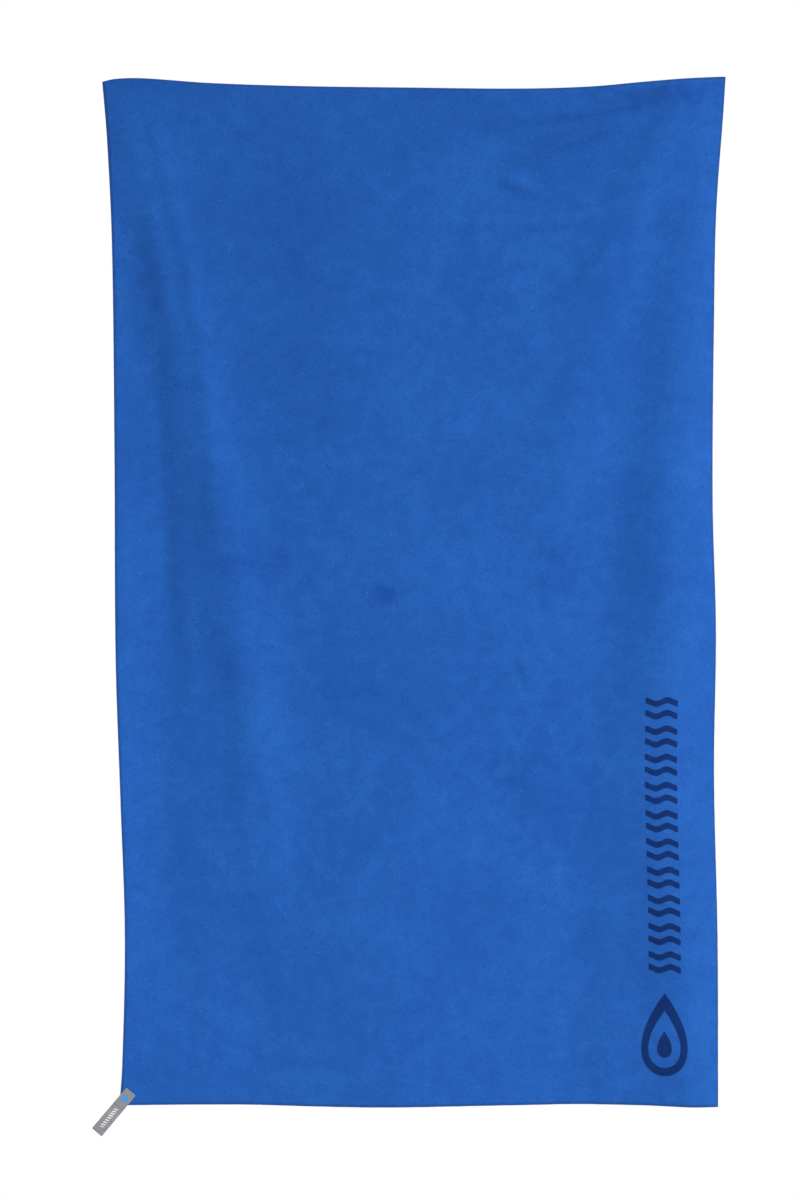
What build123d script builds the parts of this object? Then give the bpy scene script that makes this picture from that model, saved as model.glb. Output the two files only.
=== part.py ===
from build123d import *
from math import cos, exp, hypot, radians, sin
import os

# A large suede-microfibre travel towel, cut 900 x 1500 mm flat, hanging at full width from two
# grips on its top edge, with a ribbon hanging loop across its bottom left corner and a care label
# behind its top edge.
# Frame: the origin is midway between the two grips, on the top edge. +X runs to the right of
# somebody facing the towel, +Z is up, and the front of the towel faces -Y. Sizes are in mm.

# The four edges of the hanging towel. The top edge sags between its grips at x = -400 and 400,
# and the sides draw in below the top corners because the cloth falls into folds.
TOP_EDGE = [(-457, -5), (-438, -1), (-400, 0), (-300, -7), (-150, -12), (0, -14), (150, -15),
            (250, -12), (330, -5), (400, 0), (447, 3)]                    # (x, z)
BOTTOM_EDGE = [(-432, -1489), (-300, -1488), (-50, -1491), (260, -1488), (436, -1492)]  # (x, z)
LEFT_EDGE = [(-5, -457), (-90, -450), (-240, -443), (-530, -439), (-840, -437),
             (-1050, -430), (-1240, -424), (-1430, -428), (-1489, -432)]  # (z, x)
RIGHT_EDGE = [(3, 447), (-50, 444), (-190, 434), (-330, 431), (-610, 429), (-800, 434),
              (-1010, 431), (-1250, 436), (-1492, 436)]                   # (z, x)

# Folds that run down the cloth: x at the top, half way down and at the bottom, half width, and how
# far the fold stands towards the front at the top, half way down and at the bottom.
FOLDS = [
    (-475, -452, -452, 45, -4, 8, 2),     # left margin, turned forward
    (-420, -385, -350, 36, -2, -5, -6),
    (-440, -268, -200, 38, 4, 10, 0),     # sweeps in from the left grip
    (-250, -180, -258, 50, 0, -2, -8),
    (-60, -50, -52, 115, 5, 5, 8),        # broad middle
    (385, 165, 60, 36, 11, 1, 0),         # sweeps in from the right grip
    (400, 270, 225, 46, -1, -7, -5),
    (440, 360, 400, 44, 4, 8, 10),
    (478, 465, 462, 52, -22, -21, -10),   # right margin, turned back
]
FOLD_AT_EDGE = 0.35      # share of a fold's depth that the taut top edge still shows
FOLD_GROWTH = 60.0       # drop over which a fold grows from that share to its full depth
CORNER = (-432, -1489)   # bottom left, held flat by the ribbon sewn to it
CORNER_FLAT = 90.0       # out to this distance from the corner there is no fold at all
CORNER_BLEND = 300.0     # from this distance on the folds have their full depth

# Cloth and the overlocked thread along its edges
CLOTH_THICKNESS = 0.8
EDGING_WIDTH = 3.0
EDGING_THICKNESS = 1.2
EDGING_OVERHANG = 0.4
EDGING_END_GAP = 0.3

# Hanging loop: a woven ribbon folded in half, its ends sewn to the two faces of the corner
RIBBON_WIDTH = 18.0
RIBBON_THICKNESS = 0.6
LOOP_TILT = 50.0         # degrees below horizontal
SEWN_LENGTH = 26.0
SEWN_CORNER_RADIUS = 2.0
HINGE_GAP = 4.2          # from the sewn ends to the line where the ribbon flexes
LOOP_LENGTH = 47.0       # from that line to the folded end
LOOP_GAP = 5.4           # between the ribbon's two legs, at the widest
LEGS_MEET = 6.6          # past the flex line
LEGS_APART = 20.0
LEG_BEND_RADIUS = 40.0
FOLD_RADIUS = 2.4
LAY_CLEARANCE = 0.1

# Lockstitches that tack the ribbon down: a box round its sewn end and a bar across the middle
THREAD = 0.4
STITCH_PITCH = 2.8
STITCH_GAP = 0.7
TACK_INSET = 2.6
TACK_LENGTH = 16.8       # along the ribbon
TACK_WIDTH = 11.2        # across the ribbon

# Care label: folded satin tape, its top end caught under the top edging, on the back
LABEL_X = 60.0
LABEL_WIDTH = 25.0
LABEL_LENGTH = 40.0
LABEL_THICKNESS = 0.3
LABEL_END_TOP = 0.5      # below the towel's top edge
LABEL_END_BOTTOM = 6.0
LABEL_HINGE_GAP = 0.8
LABEL_CLEARANCE = 0.5

# Points across and down the cloth through which its smooth surface is fitted
COLUMNS = 61
ROWS = 31
SURFACE_TOLERANCE = 0.1


def through(points, t):
    """Cubic Hermite curve through (t, value) points in either order of t.

    Each point's slope is that of the line joining its two neighbours.
    """
    points = sorted(points)
    t = min(max(t, points[0][0]), points[-1][0])
    last = len(points) - 1
    slopes = []
    for i in range(last + 1):
        before = points[max(i - 1, 0)]
        after = points[min(i + 1, last)]
        slopes.append((after[1] - before[1]) / (after[0] - before[0]))
    i = 0
    while i < last - 1 and t > points[i + 1][0]:
        i += 1
    span = points[i + 1][0] - points[i][0]
    s = (t - points[i][0]) / span
    return ((2 * s**3 - 3 * s**2 + 1) * points[i][1] + (3 * s**2 - 2 * s**3) * points[i + 1][1]
            + ((s**3 - 2 * s**2 + s) * slopes[i] + (s**3 - s**2) * slopes[i + 1]) * span)


def parabola(start, middle, end, t):
    """The parabola that passes through the three values at t = 0, 0.5 and 1."""
    return start * (1 - t) * (1 - 2 * t) + middle * 4 * t * (1 - t) + end * t * (2 * t - 1)


def forward(x, z):
    """How far the cloth stands towards the front: the sum of its rounded vertical folds.

    A fold's middle line and its depth are parabolas down the cloth, and across it is a bell.
    All of them fade to nothing, along a smooth step, towards the corner that the ribbon holds.
    """
    drop = min(max(z / BOTTOM_EDGE[0][1], 0), 1)
    grown = FOLD_AT_EDGE + (1 - FOLD_AT_EDGE) * (1 - exp(-max(-z, 0) / FOLD_GROWTH))
    total = 0
    for x_top, x_middle, x_bottom, half_width, top, middle, bottom in FOLDS:
        centre = parabola(x_top, x_middle, x_bottom, drop)
        total += parabola(top, middle, bottom, drop) * exp(-(((x - centre) / half_width) ** 2))
    distance = hypot(x - CORNER[0], z - CORNER[1])
    loose = min(max((distance - CORNER_FLAT) / (CORNER_BLEND - CORNER_FLAT), 0), 1)
    return total * grown * loose**2 * (3 - 2 * loose)


def on_cloth(x, z, lift=0.0):
    """The point of the cloth's middle surface at x and z, moved lift towards the back."""
    return Vector(x, lift - forward(x, z), z)


def steps(start, end, count):
    """Evenly spaced values from start to end, both included."""
    return [start + (end - start) * i / (count - 1) for i in range(count)]


def sheet(places, lift, thickness):
    """A solid sheet that follows the cloth, with its front face at lift, through rows of (x, z)."""
    rows = [[on_cloth(x, z, lift) for x, z in row] for row in places]
    surface = Face.make_surface_from_array_of_points(rows, tol=SURFACE_TOLERANCE)
    return Solid.thicken(surface, thickness, normal_override=(0, 1, 0))


def cloth_places():
    """Rows of (x, z) over the whole towel: straight blends between its opposite edges."""
    left_x, left_z = TOP_EDGE[0]
    right_x, right_z = TOP_EDGE[-1]
    places = []
    for down in steps(0, 1, ROWS):
        row = []
        for across in steps(0, 1, COLUMNS):
            top = through(TOP_EDGE, left_x + (right_x - left_x) * across)
            foot_x = BOTTOM_EDGE[0][0] + (BOTTOM_EDGE[-1][0] - BOTTOM_EDGE[0][0]) * across
            z = top + (through(BOTTOM_EDGE, foot_x) - top) * down
            start = through(LEFT_EDGE, left_z + (BOTTOM_EDGE[0][1] - left_z) * down)
            end = through(RIGHT_EDGE, right_z + (BOTTOM_EDGE[-1][1] - right_z) * down)
            row.append((start + (end - start) * across, z))
        places.append(row)
    return places


def side_places(edge, inward):
    """Rows of (x, z) for the edging down one side; inward is +1 on the left and -1 on the right."""
    offsets = steps(-EDGING_OVERHANG, EDGING_WIDTH - EDGING_OVERHANG, 3)
    zs = steps(edge[0][0] + EDGING_OVERHANG, edge[-1][0] - EDGING_OVERHANG, ROWS)
    return [[(through(edge, z) + inward * offset, z) for offset in offsets] for z in zs]


def end_places(edge, inward):
    """Rows of (x, z) for the edging along the top (inward -1) or the bottom (inward +1)."""
    offsets = steps(-EDGING_OVERHANG, EDGING_WIDTH - EDGING_OVERHANG, 3)
    inset = EDGING_WIDTH - EDGING_OVERHANG + EDGING_END_GAP
    xs = steps(edge[0][0] + inset, edge[-1][0] - inset, COLUMNS)
    return [[(x, through(edge, x) + inward * offset) for x in xs] for offset in offsets]


def save(shape, node):
    """Write one node's STEP file."""
    export_step(shape, f"parts/{node}.step")
    print(f"{node}: {shape.volume:.1f} mm3, {len(shape.solids())} solid(s)")


os.makedirs("parts", exist_ok=True)

# ---------------------------------------------------------------- cloth and its four edging runs
save(sheet(cloth_places(), -CLOTH_THICKNESS / 2, CLOTH_THICKNESS), "towel_cloth")
edging_runs = {
    "edging_left": side_places(LEFT_EDGE, 1),
    "edging_right": side_places(RIGHT_EDGE, -1),
    "edging_top": end_places(TOP_EDGE, -1),
    "edging_bottom": end_places(BOTTOM_EDGE, 1),
}
for node, places in edging_runs.items():
    save(sheet(places, -EDGING_THICKNESS / 2, EDGING_THICKNESS), node)

# ---------------------------------------------------------------- hanging loop
# Along the ribbon is down and to the left, and across it is down and to the right.
along = Vector(-cos(radians(LOOP_TILT)), 0, -sin(radians(LOOP_TILT)))
across = Vector(sin(radians(LOOP_TILT)), 0, -cos(radians(LOOP_TILT)))
corner_point = on_cloth(*CORNER)
hinge_point = corner_point + along * HINGE_GAP
ribbon_lift = EDGING_THICKNESS / 2 + LAY_CLEARANCE


def ribbon_place(distance, sideways):
    """(x, z) of a point of the ribbon: distance past the corner and sideways from its middle."""
    place = corner_point + along * distance + across * sideways
    return place.X, place.Z


def ribbon_end(lift):
    """One sewn end of the ribbon, rounded at its two inner corners, lying flat on the corner."""
    outline = Rectangle(SEWN_LENGTH, RIBBON_WIDTH)
    inner_corners = outline.vertices().filter_by_position(Axis.X, -SEWN_LENGTH, 0)
    outline = fillet(inner_corners, SEWN_CORNER_RADIUS)
    middle = corner_point - along * SEWN_LENGTH / 2 + Vector(0, lift, 0)
    place = Plane(origin=middle, x_dir=along, z_dir=(0, 1, 0))
    return extrude(place * outline, RIBBON_THICKNESS)


save(ribbon_end(-ribbon_lift - RIBBON_THICKNESS), "loop_end_front")
save(ribbon_end(ribbon_lift), "loop_end_back")

# The free loop's side view: the space inside it narrows to a point, where the ribbon's two legs
# meet, and from there to the flex line they lie together and end in a rolled root.
inner_end = LOOP_LENGTH - RIBBON_THICKNESS
half_gap = LOOP_GAP / 2
space = make_face(Polyline((LEGS_MEET, 0), (LEGS_APART, half_gap), (inner_end, half_gap),
                           (inner_end, -half_gap), (LEGS_APART, -half_gap), close=True))
far_corners = space.vertices().filter_by_position(Axis.X, inner_end - 1, inner_end + 1)
space = fillet(far_corners, FOLD_RADIUS)
bends = space.vertices().filter_by_position(Axis.X, LEGS_APART - 1, LEGS_APART + 1)
space = fillet(bends, LEG_BEND_RADIUS)
ribbon_body = offset(space, RIBBON_THICKNESS)
root = Pos(LEGS_MEET / 2, 0) * Rectangle(LEGS_MEET, 2 * RIBBON_THICKNESS)
side_view = ribbon_body + root + Circle(RIBBON_THICKNESS) - space
side_plane = Plane(origin=hinge_point, x_dir=along, z_dir=across)
save(extrude(side_plane * side_view, RIBBON_WIDTH / 2, both=True), "hanging_loop")


# ---------------------------------------------------------------- tack stitching of the loop
def stitch(distance, sideways, runs_across, face):
    """One lockstitch: a bar on one face of the corner, its two ends turned into the cloth.

    face is -1 for the front and +1 for the back.
    """
    x, z = ribbon_place(distance, sideways)
    depth = ribbon_lift + RIBBON_THICKNESS
    shape = Pos(0, 0, depth + THREAD / 2) * Box(STITCH_PITCH - STITCH_GAP, THREAD, THREAD)
    reach = (STITCH_PITCH - STITCH_GAP - THREAD) / 2
    for offset in (-reach, reach):
        shape += Pos(offset, 0, depth / 2) * Box(THREAD, THREAD, depth)
    direction = across if runs_across else along
    return Plane(origin=on_cloth(x, z), x_dir=direction, z_dir=(0, face, 0)) * shape


def tack_line(start, end, fixed, runs_across):
    """The (distance, sideways, runs_across) of each stitch in one straight line of the tack."""
    count = round((end - start) / STITCH_PITCH)
    middles = [start + (i + 0.5) * STITCH_PITCH for i in range(count)]
    if runs_across:
        return [(fixed, middle, True) for middle in middles]
    return [(middle, fixed, False) for middle in middles]


tack_start = -SEWN_LENGTH + TACK_INSET
tack_end = tack_start + TACK_LENGTH
half_width = TACK_WIDTH / 2
tack = []
for line in (tack_start - THREAD, (tack_start + tack_end) / 2, tack_end + THREAD):
    tack += tack_line(-half_width, half_width, line, True)
for line in (-half_width - THREAD, half_width + THREAD):
    tack += tack_line(tack_start, tack_end, line, False)
stitches = [stitch(*place, face) for place in tack for face in (-1, 1)]
save(Compound(children=stitches), "loop_stitching")

# ---------------------------------------------------------------- care label
label_left = LABEL_X - LABEL_WIDTH / 2
label_right = LABEL_X + LABEL_WIDTH / 2
label_top = through(TOP_EDGE, LABEL_X)
label_rows = steps(label_top - LABEL_END_TOP, label_top - LABEL_END_BOTTOM, 3)
label_places = [[(x, z) for x in steps(label_left, label_right, 5)] for z in label_rows]
save(sheet(label_places, CLOTH_THICKNESS / 2, LABEL_THICKNESS), "care_label_end")

# The free flap is two layers of tape, flat, hanging just behind the cloth from a rolled top.
flap_top = label_top - LABEL_END_BOTTOM - LABEL_HINGE_GAP
rearmost = max(-forward(x, z) for x in steps(label_left, label_right, 5)
               for z in steps(flap_top, flap_top - LABEL_LENGTH, 9))
flap_y = rearmost + CLOTH_THICKNESS / 2 + LABEL_CLEARANCE + LABEL_THICKNESS
flap_plane = Plane(origin=(label_left, flap_y, flap_top), x_dir=(0, 1, 0), z_dir=(1, 0, 0))
flap_view = (Pos(0, -LABEL_LENGTH / 2) * Rectangle(2 * LABEL_THICKNESS, LABEL_LENGTH)
             + Circle(LABEL_THICKNESS))
save(extrude(flap_plane * flap_view, LABEL_WIDTH), "care_label")

for name, point in (("loop hinge", hinge_point), ("label hinge", Vector(LABEL_X, flap_y, flap_top)),
                    ("loop along", along), ("loop across", across)):
    print(f"{name}: {point.X:.3f}, {point.Y:.3f}, {point.Z:.3f}")
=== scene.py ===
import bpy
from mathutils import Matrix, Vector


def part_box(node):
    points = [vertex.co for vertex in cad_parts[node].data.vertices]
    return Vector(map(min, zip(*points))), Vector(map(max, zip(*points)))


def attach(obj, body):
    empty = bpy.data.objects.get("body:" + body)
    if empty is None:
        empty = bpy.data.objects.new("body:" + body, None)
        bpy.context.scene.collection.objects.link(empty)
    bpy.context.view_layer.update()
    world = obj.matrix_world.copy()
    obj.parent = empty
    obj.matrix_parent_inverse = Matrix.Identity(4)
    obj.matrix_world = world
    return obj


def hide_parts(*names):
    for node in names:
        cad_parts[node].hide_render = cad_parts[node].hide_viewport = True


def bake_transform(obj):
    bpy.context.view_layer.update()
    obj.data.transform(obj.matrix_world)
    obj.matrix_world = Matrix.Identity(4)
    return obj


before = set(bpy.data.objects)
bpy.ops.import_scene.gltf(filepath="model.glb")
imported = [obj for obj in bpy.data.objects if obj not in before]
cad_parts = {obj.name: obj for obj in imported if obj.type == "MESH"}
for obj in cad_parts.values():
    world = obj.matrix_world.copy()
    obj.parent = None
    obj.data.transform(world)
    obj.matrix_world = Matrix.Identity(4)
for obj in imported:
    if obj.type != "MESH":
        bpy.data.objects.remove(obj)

"""The looks of a large quick-drying travel towel, hung at full width by its top edge.

The towel is one sheet of suede microfibre, cut 900 x 1500 mm, with an overlocked thread edging
along its four sides, a woven ribbon loop folded over its bottom left corner, and a satin care
label behind its top edge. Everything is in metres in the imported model's own frame: the origin is
on the top edge midway between the two grips, +X is to the right, +Z is up, and the front of the
towel faces -Y.
"""

import logging
import math
from dataclasses import dataclass, field
from enum import Enum

import bpy
import numpy as np

MM = 0.001
DROP_FULLNESS = 2.6  # 1 over the greatest value of t sqrt(1 - t)
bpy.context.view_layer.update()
Array = np.ndarray
Socket = bpy.types.NodeSocket
Piece = bpy.types.Object
SMOOTH = {"interpolation_type": "SMOOTHSTEP"}
COLOURS = {"data_type": "RGBA"}
WAVE_PITCH = 0.31  # how far apart the bands of a wave texture are at a scale of 1
log = logging.getLogger("towel")


class Slot(Enum):
    """The record's material slots."""

    CLOTH = "cloth"
    EDGING = "edging_thread"
    RIBBON = "ribbon"
    LOOP_THREAD = "loop_thread"
    LABEL = "label_satin"


class Body(Enum):
    """The bodies that a piece can ride on."""

    TOWEL = "towel"
    LOOP = "loop"
    LABEL = "label"


# ------------------------------------------------------------------ small numeric tools
def smooth_step(t: Array) -> Array:
    """The cubic 3t^2 - 2t^3, with t held between 0 and 1."""
    t = np.clip(t, 0, 1)
    return t * t * (3 - 2 * t)


def unit(vectors: Array) -> Array:
    """The vectors along the last axis, each divided by its length."""
    return vectors / np.linalg.norm(vectors, axis=-1, keepdims=True)


def run_length(points: Array) -> Array:
    """How far each point of the last axis but one is along its path, from 0 at the first."""
    steps = np.linalg.norm(np.diff(points, axis=-2), axis=-1).cumsum(axis=-1)
    return np.concatenate([np.zeros_like(steps[..., :1]), steps], axis=-1)


def grid_faces(rows: int, columns: int) -> list[list[int]]:
    """The four-cornered faces of a grid of points, each run down first and across second."""
    first = (np.arange(rows - 1)[:, None] * columns + np.arange(columns - 1)).ravel()
    return np.stack([first, first + columns, first + columns + 1, first + 1], axis=1).tolist()


def linear(hex_colour: str) -> tuple[float, float, float, float]:
    """Turns an sRGB hex colour into linear RGBA.

    Args:
        hex_colour: six hex digits after a hash sign.

    Returns:
        Red, green, blue and an alpha of 1, on the linear scale that shaders use.
    """
    channels = [int(hex_colour[i:i + 2], 16) / 255 for i in (1, 3, 5)]
    flat = [c / 12.92 if c <= 0.04045 else ((c + 0.055) / 1.055) ** 2.4 for c in channels]
    return flat[0], flat[1], flat[2], 1.0


# ------------------------------------------------------------------ meshes
def mesh_piece(name: str, points: Array, faces: list, cut: Array) -> Piece:
    """Makes a smooth-shaded mesh object at the origin.

    Args:
        name: the piece's name.
        points: one row of three coordinates for each vertex.
        faces: lists of vertex numbers, anticlockwise seen from outside.
        cut: for each vertex, its place on the flat material in metres, kept as the UV map.

    Returns:
        The new object, linked to the scene.
    """
    mesh = bpy.data.meshes.new(name)
    mesh.from_pydata(points.reshape(-1, 3).tolist(), [], faces)
    corner = np.zeros(len(mesh.loops), np.int32)
    mesh.loops.foreach_get("vertex_index", corner)
    layer = mesh.uv_layers.new(name="cut")
    layer.data.foreach_set("uv", cut.reshape(-1, 2)[corner].astype(np.float32).ravel())
    mesh.polygons.foreach_set("use_smooth", np.ones(len(mesh.polygons), bool))
    mesh.update()
    piece = bpy.data.objects.new(name, mesh)
    bpy.context.scene.collection.objects.link(piece)
    return piece


def sheet_piece(name: str, points: Array, cut: Array, thickness: float) -> Piece:
    """Makes a sheet from a grid of points on its middle surface, thickened to both sides.

    A face runs down the grid first and across it second, so a grid with its rows running down
    and its columns running to the right faces the front.

    Args:
        name: the piece's name.
        points: rows x columns x 3 coordinates.
        cut: rows x columns x 2 places on the flat material.
        thickness: of the material.

    Returns:
        The new object, with its Solidify modifier applied.
    """
    piece = mesh_piece(name, points, grid_faces(*points.shape[:2]), cut)
    solidify = piece.modifiers.new("thickness", "SOLIDIFY")
    solidify.thickness = thickness
    solidify.offset = 0.0
    solidify.use_even_offset = True
    apply_modifiers(piece)
    return piece


def tube_piece(name: str, paths: Array, outward: Array, half_height: float, half_width: float,
               sides: int) -> Piece:
    """Makes capped tubes of a flattened round section, one along each path.

    A section's point at angle a is the path's point plus cos(a) half heights outward and
    sin(a) half widths sideways, where sideways is the path's direction crossed with outward.

    Args:
        name: the piece's name.
        paths: tubes x points x 3 coordinates.
        outward: tubes x points x 3 unit vectors, roughly square to the path.
        half_height: half of the section's size outward.
        half_width: half of its size sideways.
        sides: how many points a section has.

    Returns:
        The new object.
    """
    count, length = paths.shape[:2]
    ahead = unit(np.gradient(paths, axis=1))
    sideways = unit(np.cross(ahead, outward))
    outward = np.cross(sideways, ahead)
    angle = np.arange(sides) * 2 * np.pi / sides
    points = (paths[:, :, None] + half_height * np.cos(angle)[:, None] * outward[:, :, None]
              + half_width * np.sin(angle)[:, None] * sideways[:, :, None])
    along = run_length(paths)
    cut = np.stack(np.broadcast_arrays(along[:, :, None], angle * half_width), axis=-1)
    tube, ring, side = np.meshgrid(np.arange(count), np.arange(length - 1), np.arange(sides),
                                   indexing="ij")
    base = (tube * length + ring) * sides
    after = (side + 1) % sides
    quads = np.stack([base + side, base + after, base + sides + after, base + sides + side],
                     axis=-1).reshape(-1, 4)
    starts = np.arange(count)[:, None] * length * sides + np.arange(sides)[::-1]
    ends = (np.arange(count)[:, None] + 1) * length * sides - sides + np.arange(sides)
    faces = quads.tolist() + starts.tolist() + ends.tolist()
    return mesh_piece(name, points, faces, cut)


def apply_modifiers(piece: Piece) -> None:
    """Replaces a piece's mesh with the one that its modifiers give, and removes them."""
    graph = bpy.context.evaluated_depsgraph_get()
    finished = bpy.data.meshes.new_from_object(piece.evaluated_get(graph))
    finished.name = piece.name
    piece.modifiers.clear()
    piece.data = finished


# ------------------------------------------------------------------ shader nodes
class Nodes:
    """A node tree under construction."""

    def __init__(self, tree: bpy.types.NodeTree) -> None:
        """Empties the tree."""
        self.tree = tree
        tree.nodes.clear()

    def add(self, kind: str, settings: dict | None = None,
            inputs: dict | None = None) -> bpy.types.Node:
        """Adds one node with its settings and links.

        Args:
            kind: the node's type name, without the ShaderNode that it starts with.
            settings: attributes of the node and their values.
            inputs: for each input, by name or number, a value or an output to link it to.

        Returns:
            The new node.
        """
        node = self.tree.nodes.new("ShaderNode" + kind)
        for name, value in (settings or {}).items():
            setattr(node, name, value)
        for name, value in (inputs or {}).items():
            if isinstance(value, Socket):
                self.tree.links.new(value, node.inputs[name])
            else:
                node.inputs[name].default_value = value
        return node

    def work_out(self, value: Socket | float, *steps: tuple) -> Socket:
        """Runs a value through sums, one after another.

        Args:
            value: what the first step starts from.
            steps: for each, the name of the sum and its inputs after the first.

        Returns:
            The output of the last step.
        """
        for operation, *others in steps:
            inputs = dict(enumerate([value, *others]))
            value = self.add("Math", {"operation": operation}, inputs).outputs[0]
        return value

    def weigh(self, start: Socket | float, parts: list[tuple[Socket, float]]) -> Socket:
        """Start plus each of the parts, which are pairs of an output and its weight."""
        for part, weight in parts:
            start = self.work_out(part, ("MULTIPLY_ADD", weight, start))
        return start

    def ramp(self, factor: Socket, stops: list[tuple[float, str]]) -> Socket:
        """A colour that runs through hex colours at the given places of factor."""
        node = self.add("ValToRGB", {}, {"Fac": factor})
        elements = node.color_ramp.elements
        while len(elements) < len(stops):
            elements.new(0.5)
        for element, (place, colour) in zip(elements, stops):
            element.position = place
            element.color = linear(colour)
        return node.outputs["Color"]

    def drop(self, sideways: Socket, down: Socket, top: float, height: float,
             half_width: float) -> Socket:
        """How far inside a water drop a place is, in metres; below 0 is outside.

        With t running from 0 at the drop's tip to 1 at its foot, the drop's half width is
        DROP_FULLNESS t sqrt(1 - t) of the greatest, which it has two thirds of the way down.

        Args:
            sideways: distance from the drop's upright middle line.
            down: distance below the pattern's own zero.
            top: how far down the tip is.
            height: from tip to foot.
            half_width: the greatest.

        Returns:
            The output that carries the half width at that height less the distance sideways,
            or the distance below the tip or above the foot where that is less.
        """
        t = self.add("MapRange", {"clamp": True},
                     {"Value": down, "From Min": top, "From Max": top + height}).outputs[0]
        off = self.work_out(sideways, ("ABSOLUTE",))
        above = self.work_out(down, ("SUBTRACT", top))
        below = self.work_out(down, ("MULTIPLY_ADD", -1.0, top + height))
        return self.work_out(t, ("MULTIPLY_ADD", -1.0, 1.0), ("SQRT",), ("MULTIPLY", t),
                             ("MULTIPLY", DROP_FULLNESS * half_width), ("SUBTRACT", off),
                             ("MINIMUM", above), ("MINIMUM", below))

    def finish(self, colour: Socket, relief: Socket, strength: float, depth: float,
               look: dict[str, object]) -> None:
        """Adds a material's relief, its shader and its output.

        Args:
            colour: the surface's colour.
            relief: the height of its relief.
            strength: of the relief.
            depth: what a height of 1 stands for.
            look: the shader's other inputs.
        """
        bump = self.add("Bump", {}, {"Height": relief, "Strength": strength, "Distance": depth})
        inputs = {"Base Color": colour, "Normal": bump.outputs[0], "IOR": 1.5} | look
        shader = self.add("BsdfPrincipled", {}, inputs)
        self.add("OutputMaterial", {}, {"Surface": shader.outputs[0]})


def new_material(name: str) -> tuple[bpy.types.Material, Nodes]:
    """An empty node material and its nodes."""
    material = bpy.data.materials.new(name)
    material.use_nodes = True
    return material, Nodes(material.node_tree)


@dataclass(frozen=True)
class SuedePrint:
    """The tone-on-tone print down one side: ten pairs of ripples above a water drop.

    All sizes are on the flat cloth, in metres, from its left edge and from its bottom edge.
    The drop's outline, hollow and core each start a share of its height below its tip, and are
    a share of its size.
    """

    middle: float = 0.818
    ripple_width: float = 0.049
    ripple_top: float = 0.602
    ripple_pitch: float = 41.2 * MM
    ripple_pairs: int = 10
    stroke: float = 9.5 * MM
    stroke_apart: float = 18.5 * MM
    wave_height: float = 2.6 * MM
    wave_length: float = 33 * MM
    corner: float = 3.0 * MM
    drop_top: float = 0.166
    drop_height: float = 122 * MM
    drop_half_width: float = 35 * MM
    drop_parts: tuple[tuple[float, float], ...] = ((0.0, 1.0), (0.22, 0.68), (0.46, 0.32))
    edge: float = 0.7 * MM

    def ripples(self, nodes: Nodes, u: Socket, v: Socket) -> Socket:
        """How far inside a stroke of the ripples a place is.

        Within a pair, the distance from the pair's middle, folded about half the strokes'
        spacing, is the distance from the nearer stroke, and a sine across the towel shifts it.

        Args:
            nodes: the nodes of the material.
            u: distance from the print's middle line.
            v: height above the bottom edge.

        Returns:
            The output that carries the distance inside, in metres.
        """
        wave = nodes.work_out(u, ("MULTIPLY", 2 * math.pi / self.wave_length), ("SINE",))
        down = nodes.work_out(v, ("MULTIPLY_ADD", -1.0, self.ripple_top))
        shifted = nodes.weigh(down, [(wave, self.wave_height)])
        inside = nodes.work_out(shifted, ("FLOORED_MODULO", self.ripple_pitch),
                                ("SUBTRACT", self.ripple_pitch / 2), ("ABSOLUTE",),
                                ("SUBTRACT", self.stroke_apart / 2), ("ABSOLUTE",),
                                ("MULTIPLY_ADD", -1.0, self.stroke / 2))
        side = nodes.work_out(u, ("ABSOLUTE",), ("MULTIPLY_ADD", -1.0, self.ripple_width / 2))
        row = self.ripple_pitch * self.ripple_pairs
        below = nodes.work_out(shifted, ("MULTIPLY_ADD", -1.0, row))
        limits = [("SMOOTH_MIN", limit, self.corner) for limit in (side, shifted, below)]
        return nodes.work_out(inside, *limits)

    def drop(self, nodes: Nodes, u: Socket, v: Socket) -> Socket:
        """How far inside the printed drop a place is: a thick outline round a smaller drop."""
        down = nodes.work_out(v, ("MULTIPLY_ADD", -1.0, self.drop_top))
        outer, hollow, core = (
            nodes.drop(u, down, self.drop_height * shift, self.drop_height * share,
                       self.drop_half_width * share)
            for shift, share in self.drop_parts)
        wall = nodes.work_out(hollow, ("MULTIPLY", -1.0))
        return nodes.work_out(outer, ("MINIMUM", wall), ("MAXIMUM", core))

    def mask(self, nodes: Nodes, place: Socket, nap: Socket) -> Socket:
        """How strongly the print shows, 0 to 1, its edge roughened by the nap."""
        split = nodes.add("SeparateXYZ", {}, {0: place})
        u = nodes.work_out(split.outputs["X"], ("SUBTRACT", self.middle))
        v = split.outputs["Y"]
        inside = nodes.work_out(self.ripples(nodes, u, v), ("MAXIMUM", self.drop(nodes, u, v)))
        rough = nodes.weigh(inside, [(nap, 2 * self.edge)])
        mask = nodes.add("MapRange", SMOOTH,
                         {"Value": rough, "From Min": self.edge / 2,
                          "From Max": self.edge * 2})
        return mask.outputs[0]


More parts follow.
